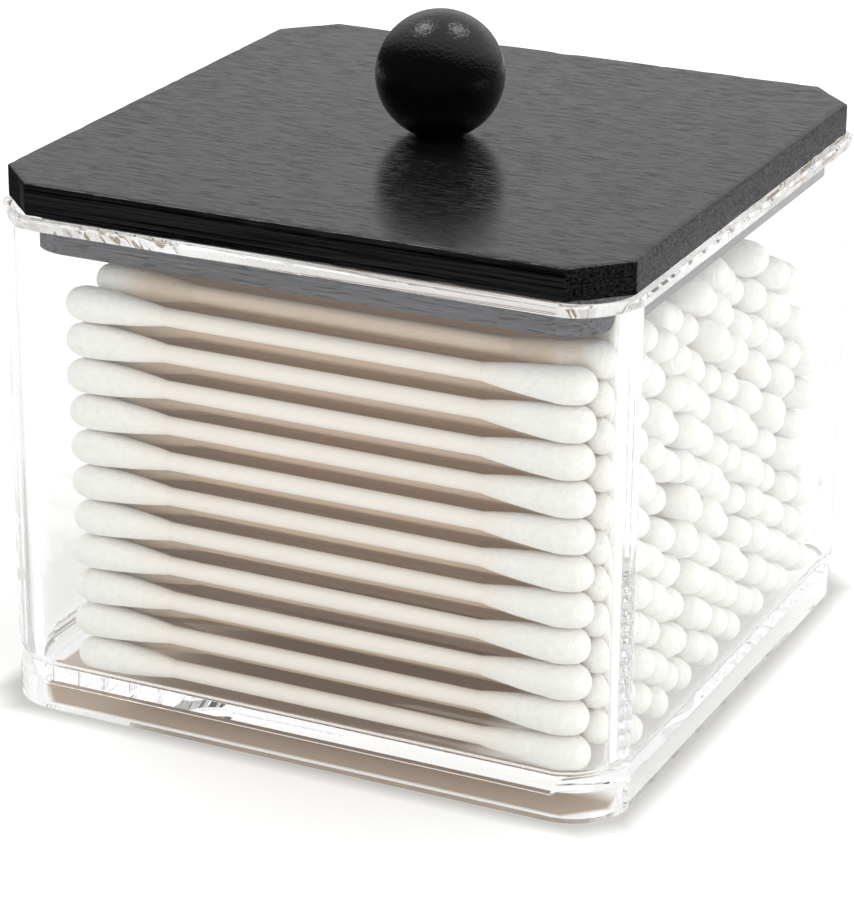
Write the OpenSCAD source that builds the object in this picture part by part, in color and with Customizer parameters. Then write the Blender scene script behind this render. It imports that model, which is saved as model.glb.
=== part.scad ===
// Square clear box for cotton swabs, with a black wooden lid and a ball knob.
// X runs along the swabs, Z is up, and the box stands on the table at Z = 0.
// The front of the box faces -Y. All lengths are in millimetres.

/* [Swabs] */
// Length of a swab, from tip to tip
swab_len = 73.6; // [70:0.2:80]
// Largest diameter of a cotton bud
bud_d = 4.9; // [4:0.1:6]
// Length of a cotton bud
bud_len = 14.5; // [11:0.5:18]
// Length of the round nose of a bud
bud_nose = 3.4; // [2:0.1:5]
// Diameter of the wooden stick
stick_d = 2.4; // [2:0.1:3]
// Cotton between the end of the stick and the tip of the bud
tip_pad = 3; // [2:0.1:4]
// Gap left between neighbouring buds
bud_gap = 0.06; // [0.02:0.01:0.3]

/* [Box] */
// Room beyond the swabs at each end, if they lay in the middle
end_room = 5.8; // [4.8:0.1:8]
// Height of the box, from the table to the rim
box_h = 69.2; // [50:0.2:90]
// Thickness of the clear walls
wall = 2.4; // [2.2:0.1:3]
// Height of the floor of the box above the table
floor_top = 5.5; // [5.3:0.1:9]
// Length cut off each side at an upright outer corner
corner_cut = 6.4; // [5:0.1:8]
// Radius that softens the two upright edges of each cut corner
edge_round = 3; // [1:0.5:4]
// Radius of the upright corners inside
inner_r = 6.5; // [6:0.1:7]
// Radius between the floor and the walls inside
floor_round = 1.6; // [0.8:0.1:2]
// Width of the bevel inside the mouth
mouth_bevel_w = 1.05; // [0.8:0.05:1.05]
// Height of the bevel inside the mouth
mouth_bevel_h = 1.9; // [1.5:0.1:3]
// Width of the fine flats that break the sharp outer edges
edge_flat = 0.4; // [0.2:0.05:0.8]
// How far the sloping facet under each corner goes in
toe_in = 1.2; // [0.5:0.1:2]
// How high that facet starts above the foot
toe_h = 3; // [2:0.1:6]
// Height of the low foot rim under the floor
foot_h = 3.8; // [1.5:0.1:4]
// Width of the foot rim
foot_w = 2; // [1.5:0.1:4]
// Step back of the foot from the walls
foot_inset = 0.45; // [0.2:0.05:1]
// Radius of the corners of the foot, which look out under the facets
foot_r = 8; // [7:0.5:14]

/* [Lid] */
// Step back of the lid board from the walls
lid_inset = 0.7; // [0.4:0.1:1]
// Thickness of the lid board
lid_t = 4.4; // [3:0.1:7]
// Length cut off each side at a corner of the lid board
lid_cut = 6.6; // [4:0.1:9]
// Width of the fine flats along the edges of the lid board
lid_flat = 0.5; // [0.2:0.05:0.8]
// How far the lid lies towards the back of its play
lid_back = 0.5; // [0:0.1:0.5]
// How far the lid lies towards the left of its play
lid_left = 0.4; // [0:0.1:0.5]
// Play of the lip board in the mouth, on each side
lip_play = 2.1; // [1:0.1:2.5]
// Thickness of the lip board under the lid
lip_t = 5.5; // [3:0.1:8]
// Radius of the corners of the lip board
lip_r = 6.5; // [4:0.5:9]

/* [Knob] */
// Diameter of the ball knob
knob_d = 17.4; // [14:0.2:22]
// Diameter of the flat on which the ball sits
knob_seat_d = 6.2; // [5.5:0.1:9]
// Diameter of the screw that holds the knob
screw_d = 3; // [2.5:0.1:3.5]
// Diameter of the flat head of the screw
screw_head_d = 6; // [5:0.1:7]
// Length of the screw inside the knob
screw_bite = 9; // [6:0.5:10]
// Room around the screw in its holes
screw_clear = 0.1; // [0.05:0.05:0.3]

/* [Pile] */
// Distance from the front at which the pile starts to fall
slump_start = 60; // [30:1:65]
// First step down of the pile
slump_step = 5; // [0:0.5:10]
// Further fall of the pile up to the back wall
slump_drop = 19; // [5:1:25]
// Gap between the rightmost tips and the right wall
tip_gap = 0.5; // [0.4:0.1:1.5]
// Further gap in the first and last columns, by the round corners
corner_room = 2; // [1.5:0.1:3]
// How unevenly the front swabs end
front_spread = 0.5; // [0:0.1:1]
// How unevenly the swabs behind them end
back_spread = 3.6; // [0:0.1:4]
// Number of low rows whose swabs lie closer to the wall
low_rows = 5; // [1:1:8]

/* [Hidden] */
$fn = 64;

// The box: half sizes of the inside, the outside and the mouth
inner_half = swab_len / 2 + end_room;
outer_half = inner_half + wall;
inner_mid = inner_half - inner_r;

// The lid: it stands on the rim, and its lip hangs inside the mouth
lid_half = outer_half - lid_inset;
lip_half = inner_half - lip_play;
lip_bottom = box_h - lip_t;
lid_top = box_h + lid_t;

// The ball is cut flat where it sits on the lid
knob_r = knob_d / 2;
knob_rise = sqrt(pow(knob_r, 2) - pow(knob_seat_d / 2, 2));

// The screw goes up from under the lip, with its head sunk flush
screw_hole_r = screw_d / 2 + screw_clear;
head_hole_r = screw_head_d / 2 + screw_clear;
head_h = (screw_head_d - screw_d) / 2;

// The buds lie one on another, this far apart from centre to centre
bud_r = bud_d / 2;
pitch = bud_d + bud_gap;
stick_r = stick_d / 2;
stick_clear = 0.03;
bore_r = stick_r + stick_clear;
neck_r = bore_r + 0.05;

// Radius of a bud at the distance x from its tip
function nose_radius(x) = bud_r * pow(1 - pow(1 - x / bud_nose, 2.3), 1 / 2.3);
function tail_share(x) = (x - bud_nose) / (bud_len - bud_nose);
function tail_radius(x) = neck_r + (bud_r - neck_r) * (1 - pow(tail_share(x), 1.4));
nose_steps = 4;
tail_steps = 4;
bud_profile = concat(
    [for (i = [0 : nose_steps])
        let (x = bud_nose * pow(i / nose_steps, 1.8)) [nose_radius(x), x]],
    [for (i = [1 : tail_steps])
        let (x = bud_nose + (bud_len - bud_nose) * i / tail_steps) [tail_radius(x), x]],
    [[bore_r, bud_len], [bore_r, tip_pad - stick_clear], [0, tip_pad - stick_clear]]);

// Every second column is lifted by this share of the pitch
lifts = rands(0.3, 0.5, 60, 11);
function lift(c) = c % 2 == 0 ? 0 : lifts[c];
function step_after(c) = pitch * sqrt(1 - pow(max(lift(c), lift(c + 1)), 2));

// The front column keeps as far from the front wall as its buds need
// to clear the round corners inside the box
function corner_depth(x) = x >= inner_r ? bud_gap
    : inner_r - sqrt(pow(inner_r - bud_gap, 2) - pow(inner_r - x, 2));
front_gap = max([for (p = bud_profile)
    corner_depth(tip_gap + corner_room + p[1]) + p[0] - bud_r]);

// Columns stand side by side from the front wall to the back wall
first_y = bud_r + front_gap - inner_half;
last_y = -first_y;
col_y = [for (c = 0, y = first_y; y <= last_y; y = y + step_after(c), c = c + 1) y];
columns = len(col_y);

// The pile reaches up to the lip, and falls towards the back
first_z = floor_top + bud_gap + bud_r;
pile_top = lip_bottom - 0.3;
slump_y = slump_start - inner_half;
function slumped(y) = max(0, (y - slump_y) / (last_y - slump_y));
function level(y) =
    y <= slump_y ? pile_top : pile_top - slump_step - slump_drop * pow(slumped(y), 1.3);
function row_z(c, k) = first_z + pitch * (k + lift(c));
function rows(c) = max(1, 1 + floor((level(col_y[c]) - bud_r - row_z(c, 0)) / pitch));

// Each swab ends a little short of the right wall
most_rows = 40;
draws = rands(0, 1, 60 * most_rows, 5);
function low_share(k) = min(1, (k + 1) / low_rows);
function spread(c, k) =
    c == 0 ? front_spread : (c == 1 ? 3 * front_spread : back_spread) * low_share(k);
function by_corner(c) = c == 0 || c == columns - 1;
function end_gap(c) = tip_gap + (by_corner(c) ? corner_room : 0);
function tip_x(c, k) = inner_half - end_gap(c) - spread(c, k) * draws[c * most_rows + k];

// The swabs are kept in six bundles, one behind another
bundles = 6;
function first_of(g) = floor((g - 1) * columns / bundles);

// Upright slab of the half width w, standing across the direction a.
// Its top and bottom edges are broken by flats, and toes cut in below.
module slab_across(a, w, h, flat, toe_w, toe_z) {
    f = flat / sqrt(2);
    long = 2 * outer_half;
    side = [[w - toe_w, 0], [w, toe_z], [w, h - f], [w - f, h]];
    other = [for (i = [3 : -1 : 0]) [-side[i][0], side[i][1]]];
    rotate([0, 0, a]) rotate([90, 0, 0])
        linear_extrude(height = 2 * long, center = true) polygon(concat(side, other));
}

// Square board with its four corners cut off and its outer edges broken
module cut_corner_board(half, cut, h, flat, foot_flat, toe_w, toe_z) {
    across = (2 * half - cut) / sqrt(2);
    nick = flat / (2 * tan(67.5));
    corner = half * cos(22.5) + (half - cut) * sin(22.5) - nick;
    f = foot_flat / sqrt(2);
    intersection() {
        slab_across(0, half, h, flat, f, f);
        slab_across(90, half, h, flat, f, f);
        slab_across(45, across, h, flat, toe_w, toe_z);
        slab_across(135, across, h, flat, toe_w, toe_z);
        for (a = [22.5, 67.5, 112.5, 157.5]) slab_across(a, corner, h, 0, 0, 0);
    }
}

// Square outline with round corners
module round_square(half, r) {
    mid = half - r;
    square([2 * half, 2 * mid], center = true);
    square([2 * mid, 2 * half], center = true);
    for (x = [-mid, mid]) for (y = [-mid, mid]) translate([x, y]) circle(r);
}

// Outline of the box: a square with cut corners, whose edges are softened
module soft_outline(half, cut, r) {
    back = r * tan(22.5);
    side = half - cut - back;
    near = half - back / sqrt(2);
    far = half - cut + back / sqrt(2);
    for (a = [0 : 90 : 270]) rotate(a) {
        polygon([[0, 0], [half, -side], [half, side], [near, far], [far, near], [side, half]]);
        for (p = [[half - r, side], [side, half - r]]) translate(p) circle(r);
    }
}

// Half section of the hollow, from its middle to a wall, with a round foot
module hollow_section(reach, h) {
    square([reach - floor_round, h]);
    translate([0, floor_round]) square([reach, h - floor_round]);
    translate([reach - floor_round, floor_round]) circle(floor_round);
}

// Hollow of the box: square, with round corners and a round edge at the floor
module hollow(h) {
    for (a = [0 : 90 : 270]) rotate([0, 0, a]) {
        rotate([90, 0, 0]) linear_extrude(height = 2 * inner_mid, center = true)
            hollow_section(inner_half, h);
        translate([inner_mid, inner_mid, 0]) rotate_extrude() hollow_section(inner_r, h);
    }
}

// Mouth of the hollow over the height h, wider at its top by the given amount
module mouth(h, wider) {
    top = inner_half + wider;
    for (a = [0, 90]) rotate([0, 0, a]) rotate([90, 0, 0])
        linear_extrude(height = 2 * inner_mid, center = true)
            polygon([[-inner_half, 0], [inner_half, 0], [top, h], [-top, h]]);
    for (x = [-inner_mid, inner_mid]) for (y = [-inner_mid, inner_mid])
        translate([x, y, 0]) cylinder(h = h, r1 = inner_r, r2 = inner_r + wider);
}

// Clear box with cut corners outside, round corners inside, and a low foot rim
module box() {
    over = 1;
    ledge = 0.5;
    color("lightcyan", 0.35) difference() {
        union() {
            intersection() {
                translate([0, 0, foot_h]) cut_corner_board(outer_half, corner_cut,
                    box_h - foot_h, edge_flat, edge_flat, toe_in, toe_h);
                linear_extrude(height = box_h + over)
                    soft_outline(outer_half, corner_cut, edge_round);
            }
            linear_extrude(height = foot_h + ledge)
                round_square(outer_half - foot_inset, foot_r);
        }
        translate([0, 0, -over]) linear_extrude(height = foot_h + over)
            round_square(outer_half - foot_inset - foot_w, foot_r - foot_w);
        translate([0, 0, floor_top]) hollow(box_h);
        translate([0, 0, box_h - mouth_bevel_h])
            mouth(mouth_bevel_h + over, mouth_bevel_w * (mouth_bevel_h + over) / mouth_bevel_h);
    }
}

// Lid board, which rests on the rim
module lid_board() {
    color([0.2, 0.2, 0.2]) translate([-lid_left, lid_back, box_h]) difference() {
        cut_corner_board(lid_half, lid_cut, lid_t, lid_flat, 0, 0, 0);
        translate([0, 0, -1]) cylinder(h = lid_t + 2, r = screw_hole_r);
    }
}

// Lip board under the lid, which keeps the lid in the mouth
module lip_board() {
    color([0.25, 0.25, 0.25]) translate([-lid_left, lid_back, lip_bottom]) difference() {
        linear_extrude(height = lip_t) round_square(lip_half, lip_r);
        translate([0, 0, -1]) cylinder(h = lip_t + 2, r = screw_hole_r);
        cylinder(h = head_h, r1 = head_hole_r, r2 = screw_hole_r);
    }
}

// Ball knob, cut flat at its seat and drilled for the screw
module knob() {
    color([0.1, 0.1, 0.1]) translate([-lid_left, lid_back, lid_top]) difference() {
        translate([0, 0, knob_rise]) sphere(r = knob_r);
        translate([0, 0, -knob_d]) cylinder(h = knob_d, r = knob_d);
        translate([0, 0, -1]) cylinder(h = 1 + screw_bite + screw_clear, r = screw_hole_r);
    }
}

// Screw with a sunk head and a cross recess, driven from under the lip
module knob_screw() {
    long = lip_t + lid_t + screw_bite;
    point = 2;
    color("silver") translate([-lid_left, lid_back, lip_bottom]) difference() {
        union() {
            cylinder(h = head_h, r1 = screw_head_d / 2, r2 = screw_d / 2);
            cylinder(h = long - point, r = screw_d / 2);
            translate([0, 0, long - point])
                cylinder(h = point, r1 = screw_d / 2, r2 = 0.3);
        }
        for (a = [0, 90]) rotate([0, 0, a])
            cube([screw_head_d * 0.55, 0.7, 2], center = true);
    }
}

// Cotton bud with its tip at the origin and its neck towards +Z,
// hollow for the stick
module bud() {
    rotate_extrude() polygon(bud_profile);
}

// The sticks of one bundle of swabs
module swab_sticks(g) {
    color("wheat") for (c = [first_of(g) : first_of(g + 1) - 1])
        for (k = [0 : rows(c) - 1])
            translate([tip_x(c, k) - swab_len / 2, col_y[c], row_z(c, k)])
                rotate([0, 90, 0])
                    cylinder(h = swab_len - 2 * tip_pad, r = stick_r, center = true);
}

// The cotton buds at the left ends of one bundle
module left_buds(g) {
    color("white") for (c = [first_of(g) : first_of(g + 1) - 1])
        for (k = [0 : rows(c) - 1])
            translate([tip_x(c, k) - swab_len, col_y[c], row_z(c, k)])
                rotate([0, 90, 0]) bud();
}

// The cotton buds at the right ends of one bundle
module right_buds(g) {
    color("white") for (c = [first_of(g) : first_of(g + 1) - 1])
        for (k = [0 : rows(c) - 1])
            translate([tip_x(c, k), col_y[c], row_z(c, k)])
                rotate([0, -90, 0]) bud();
}

box();
lid_board();
lip_board();
knob();
knob_screw();
swab_sticks(1);  // swab_sticks_1
swab_sticks(2);  // swab_sticks_2
swab_sticks(3);  // swab_sticks_3
swab_sticks(4);  // swab_sticks_4
swab_sticks(5);  // swab_sticks_5
swab_sticks(6);  // swab_sticks_6
left_buds(1);  // left_buds_1
left_buds(2);  // left_buds_2
left_buds(3);  // left_buds_3
left_buds(4);  // left_buds_4
left_buds(5);  // left_buds_5
left_buds(6);  // left_buds_6
right_buds(1);  // right_buds_1
right_buds(2);  // right_buds_2
right_buds(3);  // right_buds_3
right_buds(4);  // right_buds_4
right_buds(5);  // right_buds_5
right_buds(6);  // right_buds_6
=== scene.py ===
# %% [markdown]
# Cotton swab holder: a clear box full of swabs, under a black wooden lid with a
# ball knob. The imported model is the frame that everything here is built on. It is
# in metres, X runs along the swabs, and the front of the box faces -Y. The box of
# the bare model is kept, because the dressed model may not grow out of it.

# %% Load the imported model
import math
import random

import bmesh
import bpy
from mathutils import Matrix, Vector, noise


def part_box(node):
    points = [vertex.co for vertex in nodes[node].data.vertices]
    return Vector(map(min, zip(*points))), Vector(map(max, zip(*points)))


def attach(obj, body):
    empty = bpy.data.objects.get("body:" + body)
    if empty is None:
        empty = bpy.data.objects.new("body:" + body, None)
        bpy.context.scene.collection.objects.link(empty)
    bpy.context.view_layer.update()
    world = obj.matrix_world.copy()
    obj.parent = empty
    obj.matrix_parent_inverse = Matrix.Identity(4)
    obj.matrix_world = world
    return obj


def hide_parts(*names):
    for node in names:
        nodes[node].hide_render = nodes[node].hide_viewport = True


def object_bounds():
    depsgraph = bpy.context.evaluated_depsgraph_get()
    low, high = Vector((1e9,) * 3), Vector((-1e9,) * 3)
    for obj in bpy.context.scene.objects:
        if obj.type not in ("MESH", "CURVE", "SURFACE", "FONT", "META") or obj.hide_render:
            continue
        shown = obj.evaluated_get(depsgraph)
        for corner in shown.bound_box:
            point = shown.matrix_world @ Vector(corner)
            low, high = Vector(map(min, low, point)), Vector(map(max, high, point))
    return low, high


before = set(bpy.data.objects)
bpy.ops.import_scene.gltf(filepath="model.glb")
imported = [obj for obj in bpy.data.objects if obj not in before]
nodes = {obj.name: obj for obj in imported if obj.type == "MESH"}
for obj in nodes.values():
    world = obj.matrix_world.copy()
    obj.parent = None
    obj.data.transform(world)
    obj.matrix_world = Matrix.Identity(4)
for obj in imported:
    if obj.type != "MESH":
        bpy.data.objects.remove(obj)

MM = 0.001
cad_low, cad_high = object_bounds()
print("nodes", len(nodes), "box", [round(v / MM, 2) for v in cad_high - cad_low], "mm")

# %% [markdown]
# The camera comes first, because every later comparison needs the same view. Its
# place was found by fitting the lid's edges, the rim, the upright corners, the
# foot and the knob. It looks down at 22 degrees, 26 degrees to the right of the
# front. A lens shift would straighten the upright lines a little more, but it
# would push the holder out of the middle in every other view, so there is none.

# %% Camera
IMAGE_LONG_SIDE = 902
FOCAL_PIXELS = 3541.1
CAMERA_AZIMUTH = math.radians(25.6007)
CAMERA_ELEVATION = math.radians(21.7945)
CAMERA_ROLL = math.radians(-0.3211)
CAMERA_TARGET = Vector((47.85, -103.63, 73.6)) * MM
CAMERA_DISTANCE = 367.2 * MM

away = Vector((
    math.sin(CAMERA_AZIMUTH) * math.cos(CAMERA_ELEVATION),
    -math.cos(CAMERA_AZIMUTH) * math.cos(CAMERA_ELEVATION),
    math.sin(CAMERA_ELEVATION),
))
level = Vector((0, 0, 1)).cross(away).normalized()
upward = away.cross(level)
across = math.cos(CAMERA_ROLL) * level - math.sin(CAMERA_ROLL) * upward
upright = away.cross(across)

camera_data = bpy.data.cameras.new("camera")
camera_data.sensor_width = 36
camera_data.lens = FOCAL_PIXELS * camera_data.sensor_width / IMAGE_LONG_SIDE
camera_data.clip_start = 0.01
camera = bpy.data.objects.new("camera", camera_data)
bpy.context.scene.collection.objects.link(camera)
camera.matrix_world = Matrix((across, upright, away)).transposed().to_4x4()
camera.location = CAMERA_TARGET + away * CAMERA_DISTANCE
bpy.context.scene.camera = camera
print("lens %.1f mm, distance %.0f mm" % (camera_data.lens, CAMERA_DISTANCE / MM))

# %% [markdown]
# A finish is a small network of nodes, and most finishes here start with the same
# two steps: a Principled shader with some fixed sockets, and a noise that reads
# the piece's own coordinates. Small helpers make those steps and the sums and
# blends that follow, so that each finish below says only what is special about it.

# %% Helpers for finishes
def new_finish(name, **sockets):
    """A material with a Principled shader, and that shader."""
    finish = bpy.data.materials.new(name)
    finish.use_nodes = True
    shader = finish.node_tree.nodes["Principled BSDF"]
    for socket, value in sockets.items():
        shader.inputs[socket.replace("_", " ")].default_value = value
    return finish, shader


def add_node(finish, kind, **inputs):
    """A node of that kind, whose inputs are set to values or joined to sockets."""
    tree = finish.node_tree
    made = tree.nodes.new("ShaderNode" + kind)
    for name, value in inputs.items():
        socket = made.inputs[int(name[1:]) if name[0] == "i" else name.replace("_", " ")]
        if isinstance(value, bpy.types.NodeSocket):
            tree.links.new(value, socket)
        else:
            socket.default_value = value
    return made


def grain_noise(finish, scale, detail=3.0, roughness=0.55):
    """A noise in the piece's own coordinates, with so many waves to the metre along X, Y and Z."""
    place = add_node(finish, "TexCoord").outputs["Object"]
    stretched = add_node(finish, "Mapping", Vector=place, Scale=scale).outputs[0]
    return add_node(
        finish, "TexNoise", Vector=stretched, Scale=1.0, Detail=detail, Roughness=roughness
    ).outputs["Fac"]


def spread(finish, value, low, high, to_low=0.0, to_high=1.0):
    """The value moved from one range to another, and held at its ends."""
    moved = add_node(
        finish, "MapRange", Value=value, From_Min=low, From_Max=high,
        To_Min=to_low, To_Max=to_high,
    )
    return moved.outputs[0]


def reckon(finish, operation, *inputs):
    """A number worked out from the inputs, which are values or sockets."""
    step = add_node(finish, "Math", **{"i%d" % k: value for k, value in enumerate(inputs)})
    step.operation = operation
    return step.outputs[0]


def join(finish, value, socket):
    """Leads a value into a socket of a shader."""
    finish.node_tree.links.new(value, socket)


def two_tones(finish, share, first, second):
    """A colour between the two, by the share. Each of the two is a colour or a socket."""
    mixed = add_node(finish, "Mix", i0=share)
    mixed.data_type = "RGBA"
    for socket, tone in ((mixed.inputs[6], first), (mixed.inputs[7], second)):
        if isinstance(tone, bpy.types.NodeSocket):
            join(finish, tone, socket)
        else:
            socket.default_value = (*tone, 1)
    return mixed.outputs[2]


def add_bump(finish, shader, height, depth):
    """Roughens the shader's surface by the height, with so many metres at a height of 1."""
    bump = add_node(finish, "Bump", Height=height, Distance=depth)
    join(finish, bump.outputs[0], shader.inputs["Normal"])


def dress(piece, *finishes):
    """Puts the finishes in the piece's material slots."""
    piece.data.materials.clear()
    for finish in finishes:
        piece.data.materials.append(finish)


print("helpers ready")

# %% [markdown]
# The box is clear polished plastic with stout walls, cut corners, a bevelled mouth
# and a low foot. Its solid already has every edge that bends the light, so the CAD
# node stays and only gets its finish: a Principled shader with full transmission
# and the refraction of acrylic. Lamps and the soft light of the room would be
# blocked by such a shader, so for those rays alone the plastic is a faintly grey
# film. Light bounces many times inside the walls, and a path that is cut short
# turns black, so the number of bounces is raised.

# %% Clear plastic of the box
PLASTIC_FILM = (0.965, 0.968, 0.962, 1)
BOUNCES_IN_PLASTIC = 96
clear_plastic, plastic = new_finish(
    "clear_plastic", Base_Color=(1, 1, 1, 1), Roughness=0.0, IOR=1.49,
    Transmission_Weight=1.0,
)
light_path = add_node(clear_plastic, "LightPath")
film = add_node(clear_plastic, "BsdfTransparent", Color=PLASTIC_FILM).outputs[0]
for_room_light = add_node(
    clear_plastic, "MixShader", Fac=light_path.outputs["Is Diffuse Ray"],
    i1=plastic.outputs[0], i2=film,
).outputs[0]
for_lamps = add_node(
    clear_plastic, "MixShader", Fac=light_path.outputs["Is Shadow Ray"],
    i1=for_room_light, i2=film,
).outputs[0]
join(clear_plastic, for_lamps, clear_plastic.node_tree.nodes["Material Output"].inputs["Surface"])
dress(nodes["box"], clear_plastic)

cycles = bpy.context.scene.cycles
cycles.max_bounces = BOUNCES_IN_PLASTIC
cycles.transmission_bounces = BOUNCES_IN_PLASTIC
cycles.glossy_bounces = BOUNCES_IN_PLASTIC
cycles.diffuse_bounces = 4
cycles.transparent_max_bounces = 32
cycles.caustics_reflective = False
cycles.caustics_refractive = False
print("clear plastic on", nodes["box"].name, len(nodes["box"].data.polygons), "faces")

# %% [markdown]
# The lid board is an open-pored wood, stained black. Its flat top has a satin
# sheen, in which the pores are fine dark dashes along X and the knob is mirrored as
# a soft dark patch. Its long sides are nearly black with fine streaks. Its two ends
# are painted a lighter grey, with more gloss, over the dots of the cut fibres: a
# painted sheen for the light that falls on them. Two noises stretched along X give
# all of that: a sparse one makes the pores, and a dense one the streaks, which turn
# to dots on the ends. The lip board is stained more thinly.

# %% Black wood
PORES = (300, 3400, 3400)
BROAD_GRAIN = (70, 1500, 1500)
FINE_GRAIN = (35, 3600, 3600)
BLUE_OF_STAIN = 1.08
GLOSS_IN_PORES = 0.35


def black_wood(name, tones, gloss, roughness, depth, grain, pore_share):
    """Black stained wood. Its tones run from the pores to the ridges of the grain."""
    wood, shader = new_finish(name, Roughness=roughness)
    solid = spread(wood, grain_noise(wood, PORES, 2.0), 0.54, 0.62, 1.0, 0.0)
    streaks = spread(wood, grain_noise(wood, grain, 3.0), 0.35, 0.65)
    relief = add_node(wood, "Mix", i0=pore_share, i2=streaks, i3=solid).outputs[0]
    dark, light = tones
    stain = two_tones(wood, relief, (dark, dark, dark), (light, light, BLUE_OF_STAIN * light))
    join(wood, stain, shader.inputs["Base Color"])
    shine = spread(wood, relief, 0.0, 1.0, GLOSS_IN_PORES * gloss, gloss)
    join(wood, shine, shader.inputs["Specular IOR Level"])
    add_bump(wood, shader, relief, depth)
    return wood


satin_top = black_wood("satin_top", (0.0005, 0.007), 0.46, 0.2, 0.00003, BROAD_GRAIN, 0.8)
dull_side = black_wood("dull_side", (0.0005, 0.014), 0.05, 0.6, 0.00002, FINE_GRAIN, 0.0)
# The ends' lighter grey is a painted sheen, over the real dots of the cut fibres.
ends_with_painted_sheen = black_wood("ends_with_painted_sheen", (0.015, 0.085), 0.15, 0.45, 0.00003, FINE_GRAIN, 0.1)
lip_side = black_wood("lip_side", (0.04, 0.16), 0.2, 0.6, 0.00001, FINE_GRAIN, 0.5)
dress(nodes["lip_board"], lip_side)
print("black wood:", satin_top.name, dull_side.name, ends_with_painted_sheen.name, lip_side.name)

# %% [markdown]
# The real board isn't razor sharp: its broken edges are a little worn, with small
# nicks. The CAD board has clean flats there. A board of the same outline is made
# here from an eight-sided prism. Its edges are bevelled, it is cut into strips
# of one millimetre, and only the points near an edge are pressed in by a noise.
# All points move inwards, so the board never leaves the CAD board's box. Putting
# finishes on a mesh sets all its faces back to the first one, so the sides and
# ends are given theirs after that.

# %% Lid board
LID_CUT = 6.6 * MM
EDGE_FLAT = 0.5 * MM
STRIP = 1.0 * MM
WORN_ZONE = 1.2 * EDGE_FLAT
NICK = 0.22 * MM
BROAD_WEAR, SHARP_NICKS = 210, 640

lid_low, lid_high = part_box("lid_board")
lid_middle = (lid_low + lid_high) / 2
lid_reach = (lid_high.x - lid_low.x) / 2


def cut_corner_outline(reach, cut):
    """The eight corners of a square with its corners cut off, counter-clockwise."""
    near = reach - cut
    return [
        (near, -reach), (reach, -near), (reach, near), (near, reach),
        (-near, reach), (-reach, near), (-reach, -near), (-near, -reach),
    ]


lid_mesh = bmesh.new()
ring = [
    lid_mesh.verts.new((lid_middle.x + x, lid_middle.y + y, lid_low.z))
    for x, y in cut_corner_outline(lid_reach, LID_CUT)
]
underside = lid_mesh.faces.new(ring[::-1])
raised = bmesh.ops.extrude_face_region(lid_mesh, geom=[underside])
for corner in (v for v in raised["geom"] if isinstance(v, bmesh.types.BMVert)):
    corner.co.z = lid_high.z
bmesh.ops.recalc_face_normals(lid_mesh, faces=lid_mesh.faces)
bmesh.ops.bevel(
    lid_mesh, geom=lid_mesh.edges[:], offset=EDGE_FLAT / math.sqrt(2), segments=2,
    profile=0.5, affect="EDGES",
)
for axis in (0, 1):
    steps = int(lid_reach / STRIP)
    for step in range(-steps, steps + 1):
        cut_at, cut_normal = lid_middle.copy(), Vector((0, 0, 0))
        cut_at[axis] += step * STRIP
        cut_normal[axis] = 1
        everything = lid_mesh.verts[:] + lid_mesh.edges[:] + lid_mesh.faces[:]
        bmesh.ops.bisect_plane(lid_mesh, geom=everything, plane_co=cut_at, plane_no=cut_normal)


def distance_to_side(x, y):
    """How far a point lies inside the lid's outline."""
    x, y = abs(x - lid_middle.x), abs(y - lid_middle.y)
    diagonal = (2 * lid_reach - LID_CUT - x - y) / math.sqrt(2)
    return min(lid_reach - x, lid_reach - y, diagonal)


def distance_to_face(z):
    """How far a point lies from the top or the underside of the lid."""
    return min(lid_high.z - z, z - lid_low.z)


pressed = 0
for point in lid_mesh.verts:
    side, face = distance_to_side(point.co.x, point.co.y), distance_to_face(point.co.z)
    if side < WORN_ZONE and face < WORN_ZONE:
        nicks = max(0, noise.noise(point.co * SHARP_NICKS) - 0.35)
        wear = noise.noise(point.co * BROAD_WEAR) ** 2 + nicks
        inward = Vector((lid_middle.x - point.co.x, lid_middle.y - point.co.y, 0)).normalized()
        inward.z = -1 if point.co.z > lid_middle.z else 1
        point.co += inward * NICK * min(1, wear)
        pressed += 1
lid_data = bpy.data.meshes.new("worn_lid_board")
lid_mesh.to_mesh(lid_data)
lid_mesh.free()
lid = bpy.data.objects.new("worn_lid_board", lid_data)
bpy.context.scene.collection.objects.link(lid)
dress(lid, satin_top, dull_side, ends_with_painted_sheen)
lid_data.shade_smooth()
TOP, SIDE, END = 0, 1, 2
for face in lid_data.polygons:
    normal = face.normal
    face.material_index = TOP if abs(normal.z) > 0.8 else END if abs(normal.x) > 0.9 else SIDE
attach(lid, "lid")
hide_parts("lid_board")
print("lid board:", len(lid_data.polygons), "faces,", pressed, "points near an edge")

# %% [markdown]
# The knob is a turned ball under a thin coat of black lacquer. The lacquer is glossy
# but it has sunk into the wood a little, so that the two soft highlights on top
# break up into dimples. The ball is a ring profile turned round its axis, with
# the flat seat on which it stands, and a fine noise presses the dimples in.

# %% Ball knob
KNOB_SEAT = 3.1 * MM
KNOB_ROUND = 96
KNOB_RINGS = 64
TOP_ANGLE = 0.012
DIMPLE = 0.035 * MM
DIMPLES_PER_METRE = 900

knob_low, knob_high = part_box("knob")
knob_radius = (knob_high.x - knob_low.x) / 2
knob_middle = Vector((
    (knob_low.x + knob_high.x) / 2, (knob_low.y + knob_high.y) / 2,
    knob_high.z - knob_radius,
))


def lathe(rings, around):
    """Points and faces of a closed body turned round Z, from (radius, height) pairs."""
    points, faces = [], []
    for radius, height in rings:
        for k in range(around):
            turn = 2 * math.pi * k / around
            points.append(Vector((radius * math.cos(turn), radius * math.sin(turn), height)))
    for r in range(len(rings) - 1):
        for k in range(around):
            a, b = r * around + k, r * around + (k + 1) % around
            faces.append((a, b, b + around, a + around))
    faces.append(tuple(range(around))[::-1])
    last = (len(rings) - 1) * around
    faces.append(tuple(range(last, last + around)))
    return points, faces


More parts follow.
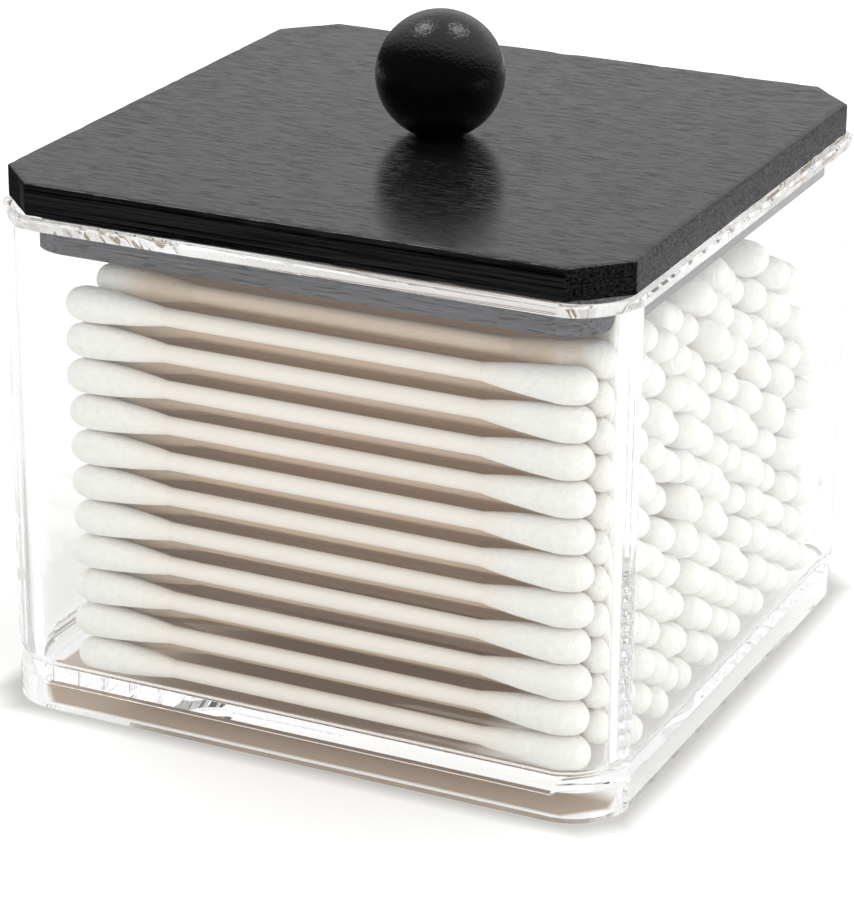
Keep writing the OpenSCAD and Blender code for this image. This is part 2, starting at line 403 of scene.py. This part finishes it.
seat_angle = math.asin(KNOB_SEAT / knob_radius)
knob_profile = []
for r in range(KNOB_RINGS + 1):
    turn = seat_angle + (math.pi - seat_angle - TOP_ANGLE) * r / KNOB_RINGS
    knob_profile.append((knob_radius * math.sin(turn), -knob_radius * math.cos(turn)))
knob_points, knob_faces = lathe(knob_profile, KNOB_ROUND)
for point in knob_points[KNOB_ROUND:]:
    dent = 0.5 + 0.5 * noise.noise(point * DIMPLES_PER_METRE)
    point *= 1 - DIMPLE * dent / knob_radius
knob_data = bpy.data.meshes.new("turned_knob")
knob_data.from_pydata([p + knob_middle for p in knob_points], [], knob_faces)
knob_data.shade_smooth()
knob = bpy.data.objects.new("turned_knob", knob_data)
bpy.context.scene.collection.objects.link(knob)

black_lacquer, lacquer = new_finish(
    "black_lacquer", Base_Color=(0.001, 0.001, 0.0012, 1), Roughness=0.17
)
orange_peel = grain_noise(black_lacquer, (2000, 2000, 2000), 2.0)
add_bump(black_lacquer, lacquer, orange_peel, 0.00008)
dress(knob, black_lacquer)
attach(knob, "lid")
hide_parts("knob")
print("knob: radius %.2f mm," % (knob_radius / MM), len(knob_faces), "faces")

# %% [markdown]
# One screw holds the knob and the two boards. Only its head would be seen, from
# under the lid. The CAD screw stays, with a plain steel that has fine turning
# marks round its axis.

# %% Steel of the screw
steel, steel_shader = new_finish(
    "screw_steel", Base_Color=(0.56, 0.56, 0.57, 1), Metallic=1.0, Roughness=0.32
)
add_bump(steel, steel_shader, grain_noise(steel, (500, 500, 9000), 1.0), 0.00001)
dress(nodes["knob_screw"], steel)
print("steel on", nodes["knob_screw"].name)

# %% [markdown]
# The swabs lie where the CAD bundles say. Each bundle node holds many closed
# solids, one for each stick or bud. The helper finds them by walking from point
# to point over the mesh, and gives the box of each. The finer sticks and buds
# are then built inside those boxes.

# %% Places of the swabs
def solids_in(node):
    """Lowest and highest corner of every closed solid in a CAD node."""
    walk = bmesh.new()
    walk.from_mesh(nodes[node].data)
    bmesh.ops.remove_doubles(walk, verts=walk.verts[:], dist=1e-6)
    seen, found = set(), []
    for start in walk.verts:
        if start in seen:
            continue
        seen.add(start)
        island = [start]
        for point in island:
            for edge in point.link_edges:
                other = edge.other_vert(point)
                if other not in seen:
                    seen.add(other)
                    island.append(other)
        low = Vector([min(p.co[k] for p in island) for k in range(3)])
        high = Vector([max(p.co[k] for p in island) for k in range(3)])
        found.append((low, high))
    walk.free()
    return found


BUNDLES = range(1, 7)
stick_boxes = {g: solids_in("swab_sticks_%d" % g) for g in BUNDLES}
front_y = min(low.y for low, high in stick_boxes[1])


def in_front(low):
    """True for a stick or bud of the column that leans on the front wall."""
    return low.y < front_y + 1.0 * MM


print("sticks:", [len(stick_boxes[g]) for g in BUNDLES])

# %% [markdown]
# A stick is a thin rod of pale birch. It is never quite straight or round, so each
# rod gets a slight bow. The fibres are a noise stretched along the rod. Each rod
# also gets a tone, kept as an attribute for the finish to read: pale, and a little
# different on each rod, for the front column, and darker and browner for the rods
# behind, a painted shade for the depth of the pile. The darker a rod's tone, the
# more it glows, faintly: a painted glow for light let through thin wood and cotton,
# so the depth of the pile is brown, not black.

# %% Pale wood of the sticks, with painted shade and painted glow
BIRCH_IN_PAINTED_SHADE = (0.72, 0.56, 0.42)
PALE_BIRCH = (0.86, 0.82, 0.76)
PAINTED_GLOW_TINT = (1.0, 0.84, 0.70, 1)
PAINTED_GLOW = 0.055

stick_wood, stick_shader = new_finish("stick_wood", Roughness=0.7, Specular_IOR_Level=0.2)
fibres = grain_noise(stick_wood, (110, 2600, 2600), 3.0)
painted_depth_shade = add_node(stick_wood, "Attribute")
painted_depth_shade.attribute_name = "tone"
painted_depth_shade = painted_depth_shade.outputs["Fac"]
# The rod's tone paints the rods behind darker and browner: painted shade for the depth of the
# pile.
toned = reckon(stick_wood, "MULTIPLY_ADD", fibres, 0.3, painted_depth_shade)
birch = two_tones(stick_wood, spread(stick_wood, toned, 0.1, 1.12), BIRCH_IN_PAINTED_SHADE, PALE_BIRCH)
join(stick_wood, birch, stick_shader.inputs["Base Color"])
add_bump(stick_wood, stick_shader, fibres, 0.00006)
# A faint emission, strongest on the darkest rods, is a painted glow in the depth of the pile.
stick_shader.inputs["Emission Color"].default_value = PAINTED_GLOW_TINT
painted_glow = reckon(stick_wood, "MULTIPLY_ADD", painted_depth_shade, -PAINTED_GLOW, PAINTED_GLOW)
join(stick_wood, painted_glow, stick_shader.inputs["Emission Strength"])
print("stick wood ready")

# %% [markdown]
# All rods or buds of a bundle are kept in one mesh, as in the CAD model. A small
# helper joins their points and faces and hangs the piece on the box.

# %% Sticks
STICK_ROUND = 18
STICK_RINGS = 9
BOW = 0.03 * MM
LIT_TONES_IN_FRONT = (0.85, 1.0)
PAINTED_SHADE_TONES_BEHIND = (0.0, 0.3)


def bundle_piece(name, parts, finish, replaced):
    """One mesh of many parts, each with its points, its faces and its points' tones."""
    points, faces, tones = [], [], []
    for part_points, part_faces, part_tones in parts:
        first = len(points)
        points += part_points
        faces += [tuple(first + k for k in face) for face in part_faces]
        tones += part_tones
    data = bpy.data.meshes.new(name)
    data.from_pydata(points, [], faces)
    data.shade_smooth()
    tone_layer = data.attributes.new("tone", "FLOAT", "POINT")
    tone_layer.data.foreach_set("value", tones)
    piece = bpy.data.objects.new(name, data)
    bpy.context.scene.collection.objects.link(piece)
    dress(piece, finish)
    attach(piece, "box")
    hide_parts(replaced)
    return piece


def lay_along_x(points, start, direction):
    """Turns a body from Z to X, or to -X, and moves its foot to the start."""
    return [
        Vector((start.x + direction * p.z, start.y + p.x, start.z + direction * p.y))
        for p in points
    ]


def rod(low, high, draw):
    """A stick that fills its box, with a slight bow."""
    radius, long = (high.z - low.z) / 2, high.x - low.x
    rings = [(radius, long * r / (STICK_RINGS - 1)) for r in range(STICK_RINGS)]
    points, faces = lathe(rings, STICK_ROUND)
    turn = draw.uniform(0, 2 * math.pi)
    for p in points:
        bow = BOW * math.sin(math.pi * p.z / long)
        p.x += bow * math.cos(turn)
        p.y += bow * math.sin(turn)
    # Pale tones for the front column, dark ones behind: painted shade by depth.
    tone = draw.uniform(*(LIT_TONES_IN_FRONT if in_front(low) else PAINTED_SHADE_TONES_BEHIND))
    start = Vector((low.x, (low.y + high.y) / 2, (low.z + high.z) / 2))
    return lay_along_x(points, start, 1), faces, [tone] * len(points)


draw = random.Random(7)
for g in BUNDLES:
    rods = [rod(low, high, draw) for low, high in stick_boxes[g]]
    bundle_piece("bundle_%d_sticks" % g, rods, stick_wood, "swab_sticks_%d" % g)
print("sticks:", sum(len(b) for b in stick_boxes.values()))

# %% [markdown]
# A bud is cotton wound round the end of the stick: a blunt round nose, a thick
# belly behind it, and a long taper into a thin film on the stick. The fibres
# run round the bud, so a noise that is fine along X and coarse across it gives
# their rings. A second noise gives tufts, and the cotton is a shade darker where
# the tufts sink: painted shade in their hollows. Each point carries a tone: below
# 0 in front, where the thin film near the neck lets the pale wood shine through,
# and above 0 behind, where the bud is painted tan from its belly back and glows
# faintly, a painted shade and a painted glow for the depth of the pile.

# %% Cotton
COTTON_IN_PAINTED_SHADE = (0.86, 0.845, 0.81)
COTTON_PAINTED_LIT = (0.93, 0.92, 0.89)
PALE_FILM = (0.90, 0.85, 0.78)
TAN_PAINTED_SHADE = (0.68, 0.56, 0.44)

cotton, cotton_shader = new_finish(
    "cotton", Roughness=0.95, Specular_IOR_Level=0.15, Sheen_Weight=0.2
)
cotton_shader.inputs["Sheen Roughness"].default_value = 0.5
wound = grain_noise(cotton, (3200, 700, 700), 4.0, 0.7)
tufts = grain_noise(cotton, (1100, 1100, 1100), 4.0, 0.6)
# Darker where the tufts sink in the bump: painted shade in the cotton's hollows.
white = two_tones(cotton, spread(cotton, tufts, 0.3, 0.7), COTTON_IN_PAINTED_SHADE, COTTON_PAINTED_LIT)
wood_film_and_shade = add_node(cotton, "Attribute")
wood_film_and_shade.attribute_name = "tone"
wood_film_and_shade = wood_film_and_shade.outputs["Fac"]
over_pale = two_tones(cotton, spread(cotton, wood_film_and_shade, 0.0, -1.0), white, PALE_FILM)
# Behind, the tan over the belly is painted shade, and the emission below is a painted glow.
over_painted_shade = two_tones(cotton, spread(cotton, wood_film_and_shade, 0.0, 1.0), over_pale, TAN_PAINTED_SHADE)
join(cotton, over_painted_shade, cotton_shader.inputs["Base Color"])
cotton_shader.inputs["Emission Color"].default_value = PAINTED_GLOW_TINT
painted_glow = spread(cotton, wood_film_and_shade, 0.0, 1.0, 0.0, PAINTED_GLOW)
join(cotton, painted_glow, cotton_shader.inputs["Emission Strength"])
add_bump(cotton, cotton_shader, reckon(cotton, "ADD", wound, tufts), 0.00016)
print("cotton ready")

# %% [markdown]
# The bud's outline is a blunt nose and a tail that falls to a film a hair thicker
# than the stick. Its last two rings lie inside the stick, so that neither an end
# face nor a dark line is seen where the cotton stops. It is turned as the knob
# was, and pressed in here and there.

# %% Buds
BUD_NOSE = 3.4 * MM
BUD_NECK = 1.21 * MM
FILM_END = 1.17 * MM
LAST_STEP = 0.05 * MM
LAST_DROP = 0.02 * MM
NOSE_POWER = 2.3
TAIL_POWER = 1.4
FRONT_FILM = 6 * MM
PAINTED_SHADE_SPAN_BEHIND = (3.5 * MM, 9 * MM)
BUD_ROUND = 20
NOSE_RINGS = 9
TAIL_RINGS = 12
HOLLOWS = 0.05
HOLLOWS_PER_METRE = 260


def bud_rings(radius, long):
    """(radius, distance from the tip) of a bud, from its tip to its neck."""
    rings = []
    for r in range(1, NOSE_RINGS + 1):
        x = BUD_NOSE * (r / NOSE_RINGS) ** 1.9
        swell = (1 - (1 - x / BUD_NOSE) ** NOSE_POWER) ** (1 / NOSE_POWER)
        rings.append((radius * swell, x))
    for r in range(1, TAIL_RINGS + 1):
        share = r / TAIL_RINGS
        rings.append((
            BUD_NECK + (radius - BUD_NECK) * (1 - share ** TAIL_POWER),
            BUD_NOSE + (long - BUD_NOSE) * share,
        ))
    rings[-1] = (FILM_END, long - LAST_STEP)
    rings.append((FILM_END - LAST_DROP, long))
    return rings


def film_and_painted_shade(points, long, front):
    """Pale wood through the film in front, below 0; behind, above 0, painted tan shade and glow.
    """
    # Behind, the tan reaches from the belly back to the neck: painted shade.
    start, end = (long - FRONT_FILM, long) if front else PAINTED_SHADE_SPAN_BEHIND
    most = -1.0 if front else 1.0
    return [most * min(1, max(0, (p.z - start) / (end - start))) for p in points]


def bud(low, high, direction, draw):
    """A bud that fills its box. Direction is 1 where the tip points to -X."""
    radius, long = (high.z - low.z) / 2, high.x - low.x
    points, faces = lathe(bud_rings(radius, long), BUD_ROUND)
    tones = film_and_painted_shade(points, long, in_front(low))
    place = Vector((draw.uniform(0, 9), draw.uniform(0, 9), draw.uniform(0, 9)))
    for p in points:
        hollow = 0.5 + 0.5 * noise.noise(p * HOLLOWS_PER_METRE + place)
        above_neck = min(1, max(0, (math.hypot(p.x, p.y) - BUD_NECK) / MM))
        press = 1 - HOLLOWS * min(1, hollow) * above_neck
        p.x *= press
        p.y *= press
    tip = (low + high) / 2
    tip.x = low.x if direction == 1 else high.x
    return lay_along_x(points, tip, direction), faces, tones


draw = random.Random(8)
bud_count = 0
for g in BUNDLES:
    for side, direction in (("left", 1), ("right", -1)):
        node = "%s_buds_%d" % (side, g)
        buds = [bud(low, high, direction, draw) for low, high in solids_in(node)]
        bundle_piece("bundle_%d_%s_cotton" % (g, side), buds, cotton, node)
        bud_count += len(buds)
print("buds:", bud_count)

# %% [markdown]
# The holder stands on a white table in a white room. The table is a large disc.
# Rays from the camera, and those that come through the plastic, see it a little
# brighter than it is lit, so that it runs into the white of the room without a
# horizon. Under the box the table is painted tan, a painted shade for the light that
# has passed the swabs, which is seen through the hollow foot, but not under the walls
# and the tips at the right. A narrow grey band round the foot, seen by the camera
# alone, is a painted contact shadow.

# %% Floor
FLOOR_RADIUS = 0.45
FLOOR_DROP = 0.05 * MM
FLOOR_WHITE = (0.82, 0.82, 0.82)
FLOOR_LIFT = 0.2
PAINTED_SHADE_UNDER_BOX = (0.50, 0.40, 0.32)
PAINTED_CONTACT_SHADOW = (0.42, 0.41, 0.39)
CORNER_SHARE = 0.527
WALLS_FROM, WALLS_TO = cad_high.x - 3.6 * MM, cad_high.x - 3 * MM
CONTACT_BAND = 3 * MM
TIPS_X = (0.018, 0.024)
TIPS_Y = (-0.036, -0.033)
bpy.ops.mesh.primitive_circle_add(
    vertices=96, radius=FLOOR_RADIUS, fill_type="NGON", location=(0, 0, -FLOOR_DROP)
)
floor = bpy.context.object
floor.name = "floor"
table_white, table_shader = new_finish("table_white", Roughness=0.9, Specular_IOR_Level=0.0)
spot = add_node(
    table_white, "SeparateXYZ", i0=add_node(table_white, "TexCoord").outputs["Object"]
).outputs


side_way = reckon(table_white, "ABSOLUTE", spot[0])
deep_way = reckon(table_white, "ABSOLUTE", spot[1])
both_ways = reckon(table_white, "ADD", side_way, deep_way)
corner_way = reckon(table_white, "MULTIPLY", both_ways, CORNER_SHARE)
farther = reckon(table_white, "MAXIMUM", side_way, deep_way)
farthest = reckon(table_white, "MAXIMUM", farther, corner_way)
by_tips = reckon(
    table_white, "MULTIPLY",
    spread(table_white, spot[0], *TIPS_X), spread(table_white, spot[1], *TIPS_Y),
)
under_walls = spread(table_white, farthest, WALLS_FROM, WALLS_TO)
open_table = reckon(table_white, "MAXIMUM", under_walls, by_tips)

seen_by = add_node(table_white, "LightPath").outputs
close_by = spread(table_white, farthest, cad_high.x, cad_high.x + CONTACT_BAND, 1.0, 0.0)
# For the camera alone, a grey band round the foot: a painted contact shadow.
painted_shadow_band = reckon(table_white, "MULTIPLY", seen_by["Is Camera Ray"], close_by)
# Tan under the box is painted shade; grey round the foot is a painted contact shadow.
tone_with_painted_shade = two_tones(table_white, open_table, PAINTED_SHADE_UNDER_BOX, FLOOR_WHITE)
table_tone = two_tones(table_white, painted_shadow_band, tone_with_painted_shade, PAINTED_CONTACT_SHADOW)
join(table_white, table_tone, table_shader.inputs["Base Color"])
print("table tones ready")

# %% [markdown]
# Two more things depend on the ray. The lift is an emission for rays of the camera
# and those through the plastic. A mirror image of the bright table in the front
# wall would lay a veil over the swabs, which the photograph doesn't have, so for
# rays off gloss alone the table is dim in front and bright behind. A ray through
# the plastic counts as gloss too, so it is taken out first.

# %% Light of the table
seen = reckon(table_white, "MAXIMUM", seen_by["Is Camera Ray"], seen_by["Is Transmission Ray"])
seen_open = reckon(table_white, "MULTIPLY", seen, open_table)
lift = reckon(table_white, "MULTIPLY", seen_open, FLOOR_LIFT)
table_shader.inputs["Emission Color"].default_value = (1, 1, 1, 1)
join(table_white, lift, table_shader.inputs["Emission Strength"])
dim_in_front = spread(table_white, spot[1], -0.08, 0.03, 0.1, 0.9)
in_gloss = add_node(table_white, "Emission", Strength=dim_in_front)
through = reckon(table_white, "ADD", seen_by["Is Transmission Ray"], 0.5)
only_gloss = reckon(table_white, "GREATER_THAN", seen_by["Is Glossy Ray"], through)
for_gloss = add_node(
    table_white, "MixShader", Fac=only_gloss, i1=table_shader.outputs[0], i2=in_gloss.outputs[0]
)
table_surface = table_white.node_tree.nodes["Material Output"].inputs["Surface"]
join(table_white, for_gloss.outputs[0], table_surface)
dress(floor, table_white)
print("table: radius %.2f m" % FLOOR_RADIUS)

# %% [markdown]
# The room is white in every direction for the camera, through the plastic, and
# for the soft light that falls on the holder. In the gloss of the knob, the lid and
# the plastic, the room is bright behind and above the holder and dim in front of
# it, as in a studio. That keeps the lower half of the knob nearly black.

# %% Room
world = bpy.data.worlds.new("room")
bpy.context.scene.world = world
world.use_nodes = True
room = world.node_tree
way = add_node(world, "SeparateXYZ", i0=add_node(world, "TexCoord").outputs["Generated"])
behind = reckon(world, "MULTIPLY_ADD", way.outputs[1], 0.6, way.outputs[2])
dim_to_bright = spread(world, behind, 0.3, 0.8, 0.04, 0.87)
ray = add_node(world, "LightPath").outputs
only_gloss = reckon(world, "SUBTRACT", ray["Is Glossy Ray"], ray["Is Transmission Ray"])
level_seen = add_node(world, "Mix", i0=only_gloss, i2=1.0, i3=dim_to_bright)
join(world, level_seen.outputs[0], room.nodes["Background"].inputs["Strength"])
room.nodes["Background"].inputs["Color"].default_value = (1, 1, 1, 1)
print("room ready")

# %% [markdown]
# Two soft boxes hang over the holder and make the two highlights on the knob. A
# larger one at the right fills the buds' side, where the photograph is brightest,
# and a weak one in front lifts the front column. Neither of those two is mirrored.

# %% Lamps
def soft_box(name, toward, distance, size, radiance):
    """A square lamp in that direction, which shines back at the knob."""
    lamp_data = bpy.data.lights.new(name, "AREA")
    lamp_data.size = size
    lamp_data.energy = radiance * math.pi * size ** 2
    lamp = bpy.data.objects.new(name, lamp_data)
    bpy.context.scene.collection.objects.link(lamp)
    toward = Vector(toward).normalized()
    lamp.location = knob_middle + toward * distance
    lamp.rotation_euler = toward.to_track_quat("Z", "Y").to_euler()
    return lamp


LAMP_DISTANCE = 0.9
soft_box("soft_box_left", (-0.454, 0.169, 0.874), LAMP_DISTANCE, 0.27, 4.5)
soft_box("soft_box_right", (0.208, 0.417, 0.883), LAMP_DISTANCE, 0.27, 4.5)
side_light = soft_box("side_light", (0.95, -0.1, 0.2), LAMP_DISTANCE, 0.6, 2.6)
front_light = soft_box("front_light", (-0.25, -0.96, 0.0), LAMP_DISTANCE, 0.6, 0.9)
side_light.visible_glossy = False
front_light.visible_glossy = False
bpy.context.scene.view_settings.view_transform = "Standard"
